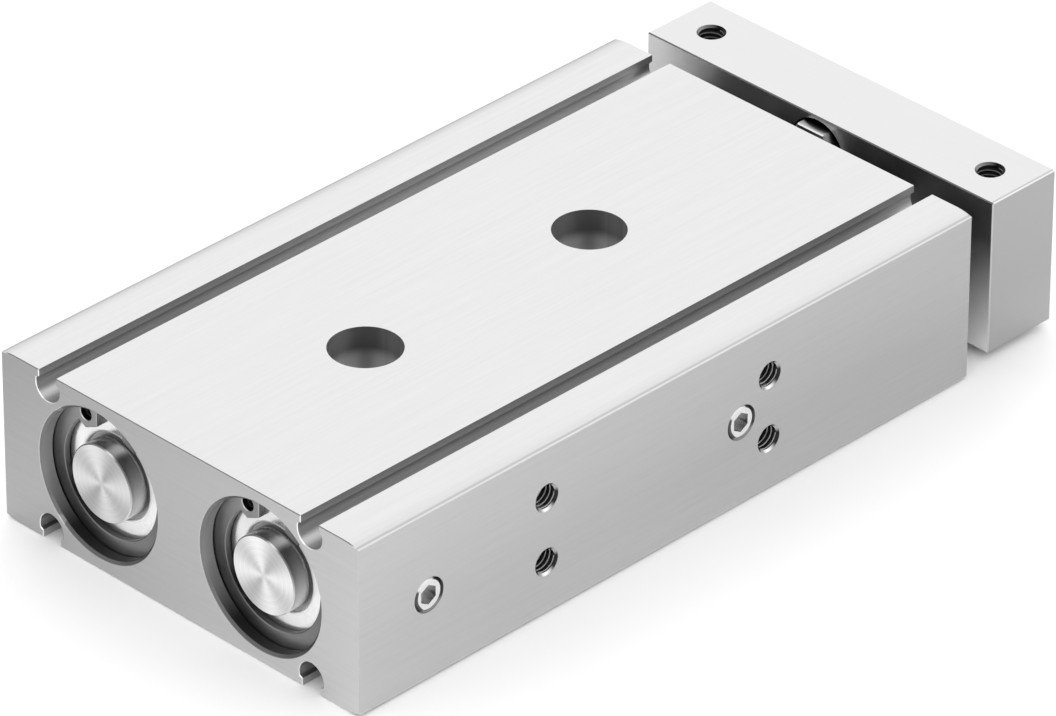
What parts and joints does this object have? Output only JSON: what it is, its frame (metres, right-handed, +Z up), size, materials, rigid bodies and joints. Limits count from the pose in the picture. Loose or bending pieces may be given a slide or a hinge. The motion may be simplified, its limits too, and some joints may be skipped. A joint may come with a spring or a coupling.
{
  "type": "twin-rod pneumatic cylinder",
  "caption": "Flat aluminium pneumatic cylinder with two parallel pistons and rods that push one guided front plate, with an adjustable stop screw.",
  "frame": {"origin": "centre of the housing's bottom mounting face", "axes": "+X the way the rods extend, from the end caps to the front plate, +Y to the left side face when looking along +X, +Z up through the bolt holes"},
  "size_m": [0.1271, 0.064, 0.025],
  "materials": {
    "housing_aluminium": "brushed along its length, clear anodised",
    "plate_aluminium": "fine satin, clear anodised",
    "end_cap_aluminium": "turned bright",
    "cover_aluminium": "turned",
    "piston_aluminium": "turned",
    "ring_steel": "phosphated spring steel",
    "rod_chrome": "hard chromed and ground",
    "magnet_iron": "sintered",
    "plated_steel": "bright plated",
    "screw_steel": "plated",
    "seal_rubber": "moulded",
    "bumper_rubber": "moulded"
  },
  "bodies": {
    "housing": {"housing": "housing_aluminium", "port_plugs": "plated_steel", "end_cap_left": "end_cap_aluminium", "end_cap_o_ring_left": "seal_rubber", "rear_retaining_ring_left": "ring_steel", "end_bumper_left": "bumper_rubber", "rod_cover_left": "cover_aluminium", "rod_cover_o_ring_left": "seal_rubber", "cover_bumper_left": "bumper_rubber", "rod_seal_left": "seal_rubber", "seal_retainer_left": "ring_steel", "front_retaining_ring_left": "ring_steel", "end_cap_right": "end_cap_aluminium", "end_cap_o_ring_right": "seal_rubber", "rear_retaining_ring_right": "ring_steel", "end_bumper_right": "bumper_rubber", "rod_cover_right": "cover_aluminium", "rod_cover_o_ring_right": "seal_rubber", "cover_bumper_right": "bumper_rubber", "rod_seal_right": "seal_rubber", "seal_retainer_right": "ring_steel", "front_retaining_ring_right": "ring_steel"},
    "plate_and_rods": {"front_plate": "plate_aluminium", "rod_screws": "screw_steel", "stop_nut": "plated_steel", "piston_rod_left": "rod_chrome", "piston_left": "piston_aluminium", "piston_seal_left": "seal_rubber", "magnet_left": "magnet_iron", "piston_rod_right": "rod_chrome", "piston_right": "piston_aluminium", "piston_seal_right": "seal_rubber", "magnet_right": "magnet_iron"},
    "stop_buffer": {"stop_bumper": "bumper_rubber"},
    "stop_screw": {"stop_screw": "screw_steel"}
  },
  "joints": [
    {"name": "rod_slide", "type": "slide", "parent": "housing", "child": "plate_and_rods", "axis": [1, 0, 0], "range_m": [0, 0.04]},
    {"name": "stop_travel", "type": "slide", "parent": "plate_and_rods", "child": "stop_buffer", "axis": [1, 0, 0], "range_m": [0, 0.003]},
    {"name": "stop_turn", "type": "hinge", "parent": "stop_buffer", "child": "stop_screw", "pos_m": [0.065, 0, 0.01855], "axis": [1, 0, 0], "range_deg": [0, 1350]}
  ],
  "couplings": [
    {"joint": "stop_turn", "follows": "stop_travel", "rad_per_m": 7854}
  ]
}
